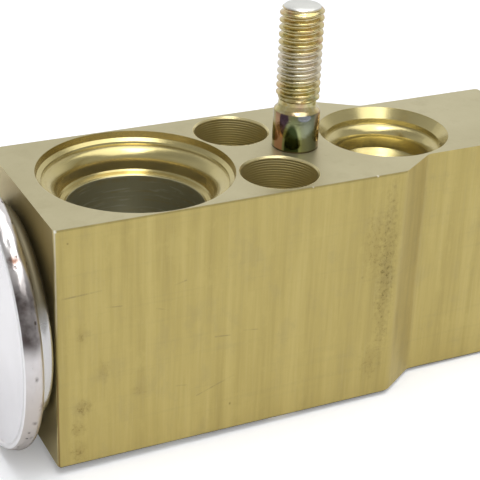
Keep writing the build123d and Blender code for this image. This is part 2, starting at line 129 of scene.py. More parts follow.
# ---- Floor, light and backdrop ----
FLOOR_HALF = 1.5
FLOOR_COLOUR = (0.84, 0.85, 0.88)
FLOOR_ROUGH = 0.8
FLOOR_LIFT = 0.22            # glow to the camera near the part; far away it is 1
FLOOR_NEAR, FLOOR_FAR = 0.25, 1.0
WORLD_LIGHT = 0.42           # what the world sheds on matt surfaces
WORLD_MIRRORED_LOW = 0.95    # what metal mirrors, near the horizon
WORLD_MIRRORED_SIDE = 0.5    # and away from the backdrop
WORLD_MIRRORED_HIGH = 0.35   # and overhead
WORLD_HIGH_FADE = (0.5, 0.8)
BACKDROP_WAY = (0.456, 0.89, 0.0)
BACKDROP_FADE = (0.3, 0.75)
# Soft boxes: name, place and size in metres, turn in degrees, radiance
SOFT_BOXES = (
    ("overhead", (0.115, -0.28, 0.8), (0.66, 1.36), -14.0, 1.9),
    ("bright_middle", (-0.10, -0.19, 0.79), (0.26, 0.62), -21.0, 3.9),
)


# ---- Node trees ----
class Tree:
    """A node tree, with short ways to add and join nodes."""

    def __init__(self, owner):
        owner.use_nodes = True
        self.nodes = owner.node_tree.nodes
        self.links = owner.node_tree.links

    def node(self, kind, **settings):
        made = self.nodes.new(kind)
        for name, value in settings.items():
            setattr(made, name, value)
        return made

    def feed(self, socket, value):
        if isinstance(value, bpy.types.NodeSocket):
            self.links.new(value, socket)
        else:
            socket.default_value = value

    def math(self, operation, first, second=0.0, third=0.0, clamp=False):
        made = self.node("ShaderNodeMath", operation=operation, use_clamp=clamp)
        for socket, value in zip(made.inputs, (first, second, third)):
            self.feed(socket, value)
        return made.outputs[0]

    def vector(self, operation, first, second=(0.0, 0.0, 0.0)):
        made = self.node("ShaderNodeVectorMath", operation=operation)
        self.feed(made.inputs[0], first)
        self.feed(made.inputs["Scale" if operation == "SCALE" else 1], second)
        number = operation in ("LENGTH", "DISTANCE", "DOT_PRODUCT")
        return made.outputs["Value" if number else "Vector"]

    def axes(self, vector):
        made = self.node("ShaderNodeSeparateXYZ")
        self.feed(made.inputs[0], vector)
        return made.outputs

    def spread(self, number):
        """A vector with the same number on each axis."""
        made = self.node("ShaderNodeCombineXYZ")
        for socket in made.inputs:
            self.feed(socket, number)
        return made.outputs[0]

    def noise(self, vector, detail=4.0, rough=0.55, distort=0.0):
        made = self.node("ShaderNodeTexNoise")
        self.feed(made.inputs["Vector"], vector)
        made.inputs["Scale"].default_value = 1.0
        made.inputs["Detail"].default_value = detail
        made.inputs["Roughness"].default_value = rough
        made.inputs["Distortion"].default_value = distort
        return made.outputs["Fac"]

    def cells(self, vector):
        made = self.node("ShaderNodeTexVoronoi")
        self.feed(made.inputs["Vector"], vector)
        made.inputs["Scale"].default_value = 1.0
        return made.outputs["Distance"]

    def ramp(self, factor, *stops):
        """Colour ramp from (place, colour) stops."""
        made = self.node("ShaderNodeValToRGB")
        self.feed(made.inputs[0], factor)
        elements = made.color_ramp.elements
        while len(elements) < len(stops):
            elements.new(0.5)
        for element, (place, colour) in zip(elements, stops):
            element.position = place
            element.color = (*colour, 1.0)
        return made.outputs["Color"]

    def mask(self, value, low, high):
        """0 below low, 1 above high, smooth between; low may be the larger."""
        made = self.node("ShaderNodeMapRange", interpolation_type="SMOOTHSTEP")
        self.feed(made.inputs["Value"], value)
        made.inputs["From Min"].default_value = min(low, high)
        made.inputs["From Max"].default_value = max(low, high)
        made.inputs["To Min"].default_value = 0.0 if low < high else 1.0
        made.inputs["To Max"].default_value = 1.0 if low < high else 0.0
        return made.outputs["Result"]

    def mix(self, factor, first, second):
        """A colour between first and second, each a socket or three numbers."""
        made = self.node("ShaderNodeMix", data_type="RGBA")
        self.feed(made.inputs[0], factor)
        for socket, colour in zip(made.inputs[6:8], (first, second)):
            plain = not isinstance(colour, bpy.types.NodeSocket)
            self.feed(socket, (*colour, 1.0) if plain else colour)
        return made.outputs[2]

    def blended(self, factor, low, high):
        """A number between low and high, each a socket or a number."""
        made = self.node("ShaderNodeMix", data_type="FLOAT")
        self.feed(made.inputs[0], factor)
        self.feed(made.inputs[2], low)
        self.feed(made.inputs[3], high)
        return made.outputs[0]

    def between(self, factor, low, high):
        """A number between low and high, at the given factor."""
        return self.math("MULTIPLY_ADD", factor, high - low, low)

    def product(self, *factors):
        total = factors[0]
        for factor in factors[1:]:
            total = self.math("MULTIPLY", total, factor)
        return total

    def most(self, *factors):
        total = factors[0]
        for factor in factors[1:]:
            total = self.math("MAXIMUM", total, factor)
        return total

    def bump(self, height, depth, normal=None):
        """Bump of a given depth in metres."""
        made = self.node("ShaderNodeBump")
        self.feed(made.inputs["Height"], height)
        made.inputs["Distance"].default_value = depth
        if normal is not None:
            self.feed(made.inputs["Normal"], normal)
        return made.outputs["Normal"]


class Surface(Tree):
    """A material with the Principled shader and object coordinates."""

    def __init__(self, name, metallic=0.0):
        self.material = bpy.data.materials.new(name)
        super().__init__(self.material)
        self.shader = self.nodes["Principled BSDF"]
        self.shader.inputs["Metallic"].default_value = metallic
        self.place = self.node("ShaderNodeTexCoord").outputs["Object"]

    def stretched(self, scale, shift=(0.0, 0.0, 0.0)):
        """Object coordinates times a scale for each axis, in cycles per metre."""
        made = self.node("ShaderNodeMapping")
        self.feed(made.inputs["Vector"], self.place)
        made.inputs["Location"].default_value = shift
        made.inputs["Scale"].default_value = scale
        return made.outputs[0]

    def finish(self, colour, rough, normal):
        self.feed(self.shader.inputs["Base Color"], colour)
        self.feed(self.shader.inputs["Roughness"], rough)
        self.feed(self.shader.inputs["Normal"], normal)
        return self.material


def near(graph, centre, edge):
    """A mask round a vertical line through centre, 1 inside the edge, and the way to the line."""
    flat = graph.vector("MULTIPLY", graph.place, (1.0, 1.0, 0.0))
    away = graph.vector("DISTANCE", flat, (centre[0], centre[1], 0.0))
    return graph.mask(away, (edge + EDGE_FADE) * MM, edge * MM), away


def spot(graph, centre, size, ragged=0.6):
    """An uneven blot round a point in mm: 1 inside, fading over its ragged edge."""
    shifted = graph.vector("SUBTRACT", graph.place, tuple(part * MM for part in centre))
    scaled = graph.vector("DIVIDE", shifted, tuple(part * MM for part in size))
    away = graph.vector("LENGTH", scaled)
    edge = graph.noise(graph.stretched((1500.0, 1500.0, 1500.0), centre), 4.0, 0.65)
    ragged_or_highlight = graph.math("MULTIPLY_ADD", edge, ragged * 2.0, away)
    return graph.mask(ragged_or_highlight, 1.0 + ragged, ragged * 0.8)


def scratch(graph, start, end, width):
    """1 along a fine line between two points in mm, fading over its width."""
    start, end = Vector(start) * MM, Vector(end) * MM
    run = end - start
    away = graph.vector("SUBTRACT", graph.place, tuple(start))
    share = graph.vector("DOT_PRODUCT", away, tuple(run / run.length_squared))
    share = graph.math("ADD", share, 0.0, clamp=True)
    nearest = graph.vector("MULTIPLY", graph.spread(share), tuple(run))
    return graph.mask(graph.vector("DISTANCE", away, nearest), width * MM, width * 0.3 * MM)


# ---- The block's marks and places, in mm ----
# A mark is its centre, its half sizes and, where given, its strength.
FRONT_Y = BLOCK_LOW.y / MM
SMUDGES = (
    ((-29.6, FRONT_Y, 19.3), (1.2, 1.0, 2.0), 0.45),
    ((-29.6, FRONT_Y, 8.7), (1.5, 1.0, 1.9), 0.8),
    ((-30.3, FRONT_Y, 5.6), (1.4, 1.0, 1.8), 0.7),
    ((-30.3, FRONT_Y, 2.2), (1.7, 1.0, 2.2), 0.6),
    ((-26.7, FRONT_Y, 13.6), (1.2, 1.0, 2.2), 0.45),
    ((-22.0, FRONT_Y, 9.5), (1.6, 1.0, 1.2), 0.3),
    ((11.8, FRONT_Y, 24.0), (2.2, 1.0, 8.0), 0.5),
    ((12.6, FRONT_Y, 6.0), (2.4, 1.0, 4.0), 0.4),
)
DOTS = (
    ((-8.82, FRONT_Y, 4.22), (0.26, 0.3, 0.3), 0.7),
    ((-31.27, FRONT_Y, 32.33), (0.24, 0.3, 0.24), 0.8),
)
# Bare metal where the edges are nicked
CHIPS = (
    ((-32.8, FRONT_Y + 0.1, 34.15), (0.32, 0.32, 0.32)),
    ((11.5, FRONT_Y + 0.1, 34.25), (0.26, 0.26, 0.2)),
    ((1.9, FRONT_Y + 0.1, 34.25), (0.2, 0.2, 0.16)),
)
# Start, end, width and strength
SCRATCHES = (
    ((-32.1, FRONT_Y, 24.9), (-27.0, FRONT_Y, 25.1), 0.16, 0.5),
    ((-26.4, FRONT_Y, 22.6), (-24.3, FRONT_Y, 22.4), 0.14, 0.35),
    ((-17.2, FRONT_Y, 23.9), (-15.6, FRONT_Y, 24.3), 0.14, 0.4),
    ((-11.3, FRONT_Y, 15.1), (-9.2, FRONT_Y, 14.9), 0.15, 0.5),
    ((-7.2, FRONT_Y, 15.2), (-5.1, FRONT_Y, 14.9), 0.14, 0.45),
    ((-19.7, FRONT_Y, 21.1), (-18.0, FRONT_Y, 20.5), 0.14, 0.3),
    ((-13.7, FRONT_Y, 6.7), (-8.4, FRONT_Y, 8.6), 0.14, 0.35),
    ((-16.7, FRONT_Y, 8.9), (-15.3, FRONT_Y, 8.7), 0.14, 0.3),
)
BEVEL_SMUDGE = ((14.0, FRONT_Y, 20.0), (1.9, 1.6, 17.0))
BEVEL_RAGGED = 0.75
CHIP_RAGGED = 0.3

HOLE_EDGE = 5.31             # just past a hole's chamfer
SUCTION_EDGE = 13.06         # just past the suction port's rim
INLET_EDGE = 9.11            # just past the liquid inlet's rim
EDGE_FADE = 0.03
BELOW_RIM = (0.01, 0.05)
RIM_WALL_EDGE = (12.75, 12.65)
RIM_WALL_DEPTH = (0.04, 0.12)
BORE_DEPTH = (4.9, 5.1)      # where the plain suction bore starts
THROAT_TOP = (2.7, 3.2)
THROAT_FOOT = (4.5, 4.4)
FEED_PITCH = 0.36            # feed marks in the mounting holes

# ---- Colours of the block ----
SIDE_RAMP = (
    (0.3, (0.440, 0.350, 0.122)),
    (0.5, (0.502, 0.402, 0.142)),
    (0.7, (0.562, 0.458, 0.170)),
)
TOP_RAMP = ((0.3, (0.475, 0.425, 0.25)), (0.7, (0.555, 0.505, 0.315)))
PORT_RAMP = ((0.3, (0.47, 0.40, 0.175)), (0.7, (0.55, 0.475, 0.225)))
# painted light in the mounting holes
HOLE_PAINTED_LIGHT_RAMP = ((0.3, (0.70, 0.61, 0.32)), (0.7, (0.78, 0.69, 0.38)))
SIDE_DULL = (0.43, 0.35, 0.145)
SIDE_WARM = (0.57, 0.465, 0.17)
SIDE_CROSS = (0.34, 0.29, 0.13)
SIDE_BRIGHT = (0.56, 0.47, 0.21)
TOP_DULL = (0.42, 0.37, 0.21)
# painted light on the end face toward the head
HEAD_END_PAINTED_LIGHT = (0.60, 0.50, 0.25)
BORE_TONE = (0.38, 0.36, 0.235)
BORE_SCORED = (0.62, 0.60, 0.44)
PORT_STREAK = (0.42, 0.31, 0.11)
# painted shade on the suction port's rim wall
RIM_WALL_PAINTED_SHADE = (0.43, 0.335, 0.12)
# painted light on the suction port's wall
THROAT_PAINTED_LIGHT = (0.74, 0.60, 0.28)
PIT_TONE = (0.12, 0.095, 0.04)
SMUDGE_TONE = (0.16, 0.105, 0.025)
BEVEL_TONE = (0.19, 0.14, 0.045)
DOT_TONE = (0.12, 0.09, 0.03)
SCRATCH_TONE = (0.24, 0.20, 0.10)
# painted shade along the bottom edge
LOW_EDGE_PAINTED_SHADE = (0.12, 0.11, 0.04)
CORNER_RUST = (0.13, 0.045, 0.018)
# painted highlight on the head-end front corner
CORNER_PAINTED_HIGHLIGHT = (0.86, 0.82, 0.68)
TOP_EDGE_TONE = (0.26, 0.21, 0.075)
CHIP_TONE = (0.95, 0.93, 0.82)


def below_top(graph, height, start, end):
    """A mask that grows from one depth under the block's top, in mm, to another."""
    return graph.mask(height, TOP_Z - start * MM, TOP_Z - end * MM)


# ---- Materials ----
def gold_aluminium():
    g = Surface("gold_aluminium", metallic=0.9)
    normal = g.axes(g.node("ShaderNodeNewGeometry").outputs["Normal"])
    place = g.axes(g.place)
    slope = g.math("ABSOLUTE", normal["Z"])
    upright = g.mask(slope, 0.75, 0.35)
    level = g.mask(slope, 0.85, 0.97)
    head_end_light = g.mask(normal["X"], -0.8, -0.95)

    # Where the surface is inside a bore or port
    hole_mask = g.most(*[near(g, hole, HOLE_EDGE)[0] for hole in HOLES])
    suction_mask, suction_way = near(g, SUCTION, SUCTION_EDGE)
    inlet_mask, inlet_way = near(g, INLET, INLET_EDGE)
    below_rim = below_top(g, place["Z"], *BELOW_RIM)
    port_mask = g.product(g.most(suction_mask, inlet_mask), below_rim)
    bored = g.most(hole_mask, port_mask)
    outside = g.math("SUBTRACT", 1.0, bored)
    drawn = g.product(upright, outside)
    bore = g.product(suction_mask, below_top(g, place["Z"], *BORE_DEPTH))

    # Lines drawn along the height on the extruded sides
    fine_lines = g.noise(g.stretched((2800.0, 2800.0, 90.0)), 3.0, 0.6)
    broad_lines = g.noise(g.stretched((560.0, 560.0, 26.0), (3.0, 1.0, 0.0)), 4.0, 0.65)
    mottle = g.noise(g.stretched((330.0, 330.0, 210.0), (4.0, 6.0, 1.0)), 6.0, 0.7)
    cross_lines = g.noise(g.stretched((40.0, 40.0, 1500.0), (1.0, 8.0, 3.0)), 3.0, 0.6)
    clouds = g.noise(g.stretched((55.0, 55.0, 40.0), (7.0, 2.0, 5.0)), 4.0, 0.6)
    grain = g.noise(g.stretched((3000.0, 3000.0, 3000.0)), 3.0, 0.6)

    tone = g.ramp(broad_lines, *SIDE_RAMP)
    tone = g.mix(g.product(g.mask(mottle, 0.5, 0.68), 0.4), tone, SIDE_DULL)
    tone = g.mix(g.product(g.mask(mottle, 0.46, 0.32), 0.35), tone, SIDE_WARM)
    tone = g.mix(g.product(g.mask(cross_lines, 0.55, 0.7), mottle, 0.2), tone, SIDE_CROSS)
    tone = g.mix(g.product(g.mask(fine_lines, 0.5, 0.75), 0.2), tone, SIDE_BRIGHT)
    top_tone = g.ramp(clouds, *TOP_RAMP)
    top_tone = g.mix(g.product(g.mask(mottle, 0.5, 0.7), 0.3), top_tone, TOP_DULL)
    tone = g.mix(level, tone, top_tone)
    # Painted light: the end face toward the head gets a lighter tone, brightening it where the
    # head shades it
    tone = g.mix(g.product(head_end_light, outside, 0.8), tone, HEAD_END_PAINTED_LIGHT)
    tone = g.mix(port_mask, tone, g.ramp(clouds, *PORT_RAMP))
    # Painted light: the mounting holes' walls are much lighter than the sides, brightening their
    # shaded insides
    tone = g.mix(hole_mask, tone, g.ramp(clouds, *HOLE_PAINTED_LIGHT_RAMP))
    tone = g.mix(bore, tone, BORE_TONE)

    # Brown streaks and turning marks that run round the port walls
    port_way = g.math("MINIMUM", suction_way, g.math("ADD", inlet_way, 4.0 * MM))
    turned = g.node("ShaderNodeCombineXYZ")
    g.feed(turned.inputs[0], port_way)
    g.feed(turned.inputs[2], place["Z"])
    rings = g.noise(g.vector("SCALE", turned.outputs[0], 3200.0), 2.0, 0.5)
    streaks = g.noise(g.vector("SCALE", turned.outputs[0], 1100.0), 3.0, 0.6)
    streaks = g.product(g.mask(streaks, 0.5, 0.65), port_mask, g.mask(mottle, 0.42, 0.58))
    tone = g.mix(g.product(streaks, 0.35), tone, PORT_STREAK)
    # Painted shade on the steep upper wall of the suction port's counterbore
    inner = g.mask(suction_way, *(edge * MM for edge in RIM_WALL_EDGE))
    rim_wall_shade = g.product(
        suction_mask,
        g.math("SUBTRACT", 1.0, inner),
        below_top(g, place["Z"], *RIM_WALL_DEPTH),
    )
    tone = g.mix(g.product(rim_wall_shade, g.mask(slope, 0.6, 0.4)), tone, RIM_WALL_PAINTED_SHADE)
    # Painted light: a lighter band on the suction port's wall between the lip and the seat
    throat_light = g.product(
        suction_mask,
        below_top(g, place["Z"], *THROAT_TOP),
        below_top(g, place["Z"], *THROAT_FOOT),
    )
    tone = g.mix(g.product(throat_light, 0.85), tone, THROAT_PAINTED_LIGHT)
    scored = g.noise(g.stretched((160.0, 500.0, 2600.0), (2.0, 5.0, 1.0)), 3.0, 0.6, 0.6)
    tone = g.mix(g.product(bore, g.mask(scored, 0.56, 0.7), 0.5), tone, BORE_SCORED)

    # Dark pits, smudges and scratches
    pit_cells = g.cells(g.stretched((520.0, 520.0, 520.0)))
    pit_gate = g.mask(g.noise(g.stretched((150.0, 150.0, 90.0), (2.0, 9.0, 4.0)), 2.0), 0.6, 0.7)
    pits = g.product(g.mask(pit_cells, 0.13, 0.06), pit_gate, outside)
    tone = g.mix(g.product(pits, 0.6), tone, PIT_TONE)
    specks = g.noise(g.stretched((1900.0, 1900.0, 1500.0), (6.0, 2.0, 3.0)), 5.0, 0.75)
    specks = g.mask(specks, 0.5, 0.66)
    for centre, size, strength in SMUDGES:
        dirt = g.product(spot(g, centre, size), g.between(specks, 0.35, 1.2), strength)
        tone = g.mix(dirt, tone, SMUDGE_TONE)
    bevel = g.product(spot(g, *BEVEL_SMUDGE, BEVEL_RAGGED), drawn)
    tone = g.mix(g.product(bevel, g.between(specks, 0.4, 1.15)), tone, BEVEL_TONE)
    for centre, size, strength in DOTS:
        tone = g.mix(g.product(spot(g, centre, size), strength), tone, DOT_TONE)
    broken = g.between(g.mask(mottle, 0.42, 0.58), 0.25, 1.0)
    for start, end, width, strength in SCRATCHES:
        line = g.product(scratch(g, start, end, width), drawn, broken, strength)
        tone = g.mix(line, tone, SCRATCH_TONE)

    # Edges: painted shade along the bottom, rusty and with a painted highlight at the head end, a
    # fine line on top
    low_edge_shade = g.product(g.mask(place["Z"], 0.5 * MM, 0.2 * MM), outside)
    tone = g.mix(g.product(low_edge_shade, 0.75), tone, LOW_EDGE_PAINTED_SHADE)
    corner = g.product(
        g.mask(place["X"], BLOCK_LOW.x + 0.32 * MM, BLOCK_LOW.x + 0.12 * MM),
        g.mask(place["Y"], BLOCK_LOW.y + 0.3 * MM, BLOCK_LOW.y + 0.1 * MM),
    )
    rusty = g.product(corner, g.mask(place["Z"], 17.0 * MM, 13.0 * MM))
    tone = g.mix(g.product(rusty, 0.85), tone, CORNER_RUST)
    # Painted highlight along the upper part of the head-end front corner
    ragged_or_highlight = g.product(corner, g.mask(place["Z"], 18.0 * MM, 24.0 * MM))
    tone = g.mix(g.product(ragged_or_highlight, 0.7), tone, CORNER_PAINTED_HIGHLIGHT)
    top_edge = g.product(
        g.mask(place["Z"], TOP_Z - 0.32 * MM, TOP_Z - 0.16 * MM),
        g.mask(place["Y"], BLOCK_LOW.y + 0.2 * MM, BLOCK_LOW.y + 0.05 * MM),
        g.between(mottle, 0.4, 1.3),
    )
    tone = g.mix(g.product(top_edge, 0.7), tone, TOP_EDGE_TONE)
    chips = g.most(*[spot(g, centre, size, CHIP_RAGGED) for centre, size in CHIPS])
    tone = g.mix(chips, tone, CHIP_TONE)

    rough = g.between(fine_lines, 0.36, 0.48)
    rough = g.math("MULTIPLY_ADD", port_mask, -0.19, rough)
    rough = g.math("MULTIPLY_ADD", hole_mask, -0.12, rough)
    rough = g.math("MULTIPLY_ADD", bore, 0.3, rough)

    feed = g.math("SINE", g.math("MULTIPLY", place["Z"], TURN / (FEED_PITCH * MM)))
    feed = g.math("MULTIPLY_ADD", feed, 0.5, 0.5)
    line_height = g.math("ADD", fine_lines, g.math("MULTIPLY", broad_lines, 0.8))
    line_height = g.product(line_height, drawn)
    relief = g.bump(line_height, 0.003 * MM)
    relief = g.bump(g.product(rings, port_mask), 0.002 * MM, relief)
    relief = g.bump(g.product(hole_mask, feed), 0.035 * MM, relief)
    relief = g.bump(g.product(grain, outside), 0.005 * MM, relief)
    relief = g.bump(g.math("MULTIPLY", pits, -1.0), 0.02 * MM, relief)
    return g.finish(tone, rough, relief)


# Patches on the stud's collar, partly the film's colours and partly painted reflections:
# middle and half width in degrees, then height and half height in mm, then colour
COLLAR_FILM_AND_REFLECTION_PATCHES = (
    (-166.0, 20.0, 1.0, 1.8, (0.60, 0.33, 0.20)),
    (-150.0, 13.0, 4.2, 1.9, (0.09, 0.055, 0.065)),
    (-98.0, 17.0, 5.0, 0.5, (0.36, 0.38, 0.40)),
    (-127.0, 25.0, 0.8, 3.9, (0.33, 0.36, 0.17)),
    (-128.0, 18.5, 0.6, 3.4, (0.045, 0.06, 0.02)),
)
ZINC_RAMP = (
    (0.28, (0.38, 0.40, 0.20)),
    (0.42, (0.55, 0.46, 0.19)),
    (0.55, (0.58, 0.46, 0.21)),
    (0.68, (0.58, 0.39, 0.23)),
    (0.76, (0.44, 0.42, 0.27)),
)
ZINC_PALE = (0.64, 0.57, 0.34)
ZINC_WORN = (0.66, 0.62, 0.55)
ZINC_TIP = (0.76, 0.76, 0.72)
ZINC_FOOT = (0.10, 0.08, 0.04)
# Colours of the passivation film, once round the collar
FILM_RAMP = (
    (0.0, (0.30, 0.19, 0.08)),
    (0.12, (0.46, 0.27, 0.15)),
    (0.17, (0.30, 0.20, 0.15)),
    (0.24, (0.27, 0.28, 0.12)),
    (0.31, (0.25, 0.27, 0.18)),
    (0.38, (0.14, 0.15, 0.09)),
    (0.45, (0.38, 0.23, 0.12)),
    (0.62, (0.34, 0.28, 0.12)),
)


def yellow_zinc():
    g = Surface("yellow_zinc", metallic=1.0)
    place = g.axes(g.place)
    tint = g.noise(g.stretched((330.0, 330.0, 190.0), (1.0, 4.0, 2.0)), 3.0, 0.6, 0.6)
    patch = g.noise(g.stretched((1400.0, 1400.0, 900.0)), 3.0)
    tone = g.ramp(tint, *ZINC_RAMP)
    tone = g.mix(g.mask(patch, 0.4, 0.75), tone, ZINC_PALE)
    pale = g.product(
        g.mask(place["Z"], COLLAR_TOP + 3.2 * MM, COLLAR_TOP + 5.4 * MM),
        g.mask(place["Z"], COLLAR_TOP + 9.6 * MM, COLLAR_TOP + 7.2 * MM),
    )
    tone = g.mix(g.product(pale, 0.6), tone, ZINC_WORN)
    tip = g.mask(place["Z"], STUD_HIGH.z - 0.25 * MM, STUD_HIGH.z - 0.05 * MM)
    tone = g.mix(tip, tone, ZINC_TIP)

    # The film shows most on the plain collar
    collar = g.mask(place["Z"], COLLAR_TOP - 0.2 * MM, COLLAR_TOP - 0.4 * MM)
    turn = g.math(
        "ARCTAN2",
        g.math("SUBTRACT", place["Y"], STUD.y),
        g.math("SUBTRACT", place["X"], STUD.x),
    )
    height = g.math("SUBTRACT", place["Z"], TOP_Z)
    wander = g.math("MULTIPLY_ADD", tint, 0.5, g.math("MULTIPLY_ADD", height, 50.0, turn))
    film = g.ramp(g.math("MULTIPLY_ADD", wander, 1.0 / TURN, 0.5), *FILM_RAMP)
    tone = g.mix(collar, tone, film)
    # Patches of film colour and painted reflections on the collar
    for aim, spread, middle, reach, colour in COLLAR_FILM_AND_REFLECTION_PATCHES:
        across = g.math("SUBTRACT", turn, math.radians(aim))
        across = g.math("DIVIDE", across, math.radians(spread))
        along = g.math("DIVIDE", g.math("SUBTRACT", height, middle * MM), reach * MM)
        away = g.math("ADD", g.product(across, across), g.product(along, along))
        tone = g.mix(g.product(g.mask(away, 1.25, 0.75), collar), tone, colour)
    tone = g.mix(g.mask(height, 0.28 * MM, 0.1 * MM), tone, ZINC_FOOT)
    rough = g.between(patch, 0.16, 0.30)
    rough = g.math("MULTIPLY_ADD", collar, -0.10, rough)
    end_face = g.mask(place["Z"], STUD_HIGH.z - 0.2 * MM, STUD_HIGH.z)
    rough = g.math("MULTIPLY_ADD", end_face, 0.2, rough)
    relief = g.bump(g.noise(g.stretched((2600.0, 2600.0, 2600.0)), 3.0), 0.012 * MM)
    return g.finish(tone, rough, relief)


STEEL_RAMP = ((0.3, (0.86, 0.835, 0.825)), (0.7, (0.95, 0.925, 0.92)))
# painted shade over the cup, and a painted reflection on its upper bulge
CUP_PAINTED_SHADE = (0.50, 0.49, 0.47)
CUP_PAINTED_REFLECTION = (0.17, 0.145, 0.085)


def head_steel():
    g = Surface("head_steel", metallic=1.0)
    place = g.axes(g.place)
    clouds = g.noise(g.stretched((160.0, 160.0, 160.0)), 4.0)
    grain = g.noise(g.stretched((2600.0, 2600.0, 2600.0)), 3.0)
    tone = g.ramp(clouds, *STEEL_RAMP)
    # Painted shade over the cup, and a painted olive reflection of the block on its upper bulge
    # where it faces the block
    cup = g.mask(place["X"], RIM_HIGH.x - 0.1 * MM, RIM_HIGH.x + 0.3 * MM)
    ragged = g.math("MULTIPLY_ADD", clouds, 4.0 * MM, place["Z"])
    cup_reflection = g.product(cup, g.mask(ragged, 23.0 * MM, 26.5 * MM))
    tone = g.mix(g.product(cup, 0.7), tone, CUP_PAINTED_SHADE)
    tone = g.mix(g.product(cup_reflection, 0.95), tone, CUP_PAINTED_REFLECTION)
    rough = g.math("MULTIPLY_ADD", cup_reflection, 0.32, g.between(clouds, 0.16, 0.27))
    relief = g.bump(grain, 0.004 * MM)
    return g.finish(tone, rough, relief)


# Marks on the rim's weld bead, in mm
BEAD_X = RIM_X / MM
RUST = (
    ((BEAD_X - 0.5, -11.9, 30.6), (1.1, 1.3, 1.6), 1.0),
    ((BEAD_X + 0.9, -17.7, 13.0), (0.7, 1.0, 1.1), 0.9),
)
BEAD_PITS = (
    ((BEAD_X, -18.1, 17.4), (0.4, 0.6, 0.5)),
    ((BEAD_X, -16.9, 10.4), (0.45, 0.6, 0.6)),
    ((BEAD_X, -15.3, 7.2), (0.4, 0.6, 0.5)),
    ((BEAD_X, -12.9, 4.1), (0.45, 0.6, 0.6)),
)
# painted highlight round the lid's edge, as radii in mm
BEAD_HIGHLIGHT_EDGE = (17.62, 17.54)    # bright edge round the lid
WELD_RAMP = ((0.3, (0.62, 0.58, 0.56)), (0.7, (0.78, 0.75, 0.74)))
# painted dark reflection on the bead
WELD_PAINTED_REFLECTION = (0.075, 0.055, 0.05)
WELD_TINT = (0.50, 0.44, 0.385)
WELD_PIT = (0.06, 0.045, 0.04)
WELD_RUST = (0.12, 0.04, 0.012)
# painted highlight round the lid's edge
WELD_PAINTED_HIGHLIGHT = (0.97, 0.96, 0.95)


def weld_steel():
    g = Surface("weld_steel", metallic=1.0)
    place = g.axes(g.place)
    clouds = g.noise(g.stretched((260.0, 260.0, 260.0)), 4.0)
    grain = g.noise(g.stretched((1800.0, 1800.0, 1800.0)), 4.0)
    tone = g.ramp(clouds, *WELD_RAMP)
    # Painted reflection: a dark band on the front of the bead, above its axis
    dark = g.product(
        g.mask(place["Z"], 19.5 * MM, 22.5 * MM),
        g.mask(place["Z"], 30.0 * MM, 27.0 * MM),
        g.mask(place["Y"], 0.0, -6.0 * MM),
        g.between(g.mask(clouds, 0.35, 0.6), 0.6, 1.0),
    )
    tone = g.mix(g.product(dark, 0.95), tone, WELD_PAINTED_REFLECTION)
    lower = g.math("SUBTRACT", 1.0, g.mask(place["Z"], 11.0 * MM, 20.0 * MM))
    tone = g.mix(g.product(lower, g.between(clouds, 0.35, 1.1)), tone, WELD_TINT)
    pit_cells = g.cells(g.stretched((900.0, 620.0, 620.0)))
    pit_gate = g.mask(g.noise(g.stretched((300.0, 200.0, 200.0)), 2.0), 0.45, 0.58)
    pits = g.product(g.mask(pit_cells, 0.2, 0.1), pit_gate)
    for centre, size in BEAD_PITS:
        pits = g.most(pits, spot(g, centre, size))
    tone = g.mix(g.product(pits, 0.8), tone, WELD_PIT)
    for centre, size, strength in RUST:
        tone = g.mix(g.product(spot(g, centre, size), strength), tone, WELD_RUST)
    across = g.math("SUBTRACT", place["Z"], AXIS_Z)
    way = g.math("ADD", g.product(across, across), g.product(place["Y"], place["Y"]))
    # Painted highlight: a light ring on the bead round the lid's edge
    lip_highlight = g.product(
        g.mask(g.math("SQRT", way), *(edge * MM for edge in BEAD_HIGHLIGHT_EDGE)),
        g.mask(place["X"], RIM_LOW.x + 0.4 * MM, RIM_LOW.x + 0.25 * MM),
    )
    tone = g.mix(g.product(lip_highlight, 0.8), tone, WELD_PAINTED_HIGHLIGHT)
    rough = g.between(grain, 0.22, 0.4)
    relief = g.bump(grain, 0.02 * MM)
    relief = g.bump(g.math("MULTIPLY", pits, -1.0), 0.06 * MM, relief)
    return g.finish(tone, rough, relief)


def turned_metal(name, dark, light, rough_low, rough_high):
    """Metal turned on a lathe about the valve axis, with fine rings across it."""
    g = Surface(name, metallic=1.0)
    rings = g.noise(g.stretched((4200.0, 12.0, 12.0)), 2.0)
    clouds = g.noise(g.stretched((380.0, 380.0, 380.0)), 3.0)
    tone = g.ramp(clouds, (0.3, dark), (0.7, light))
    relief = g.bump(rings, 0.006 * MM)
    return g.finish(tone, g.between(rings, rough_low, rough_high), relief)


def soft_material(name, dark, light, rough_low, rough_high):
    """Rubber or polymer with a fine moulded grain."""
    g = Surface(name)
    grain = g.noise(g.stretched((2400.0, 2400.0, 2400.0)), 3.0)
    tone = g.ramp(grain, (0.3, dark), (0.7, light))
    relief = g.bump(grain, 0.008 * MM)
    return g.finish(tone, g.between(grain, rough_low, rough_high), relief)


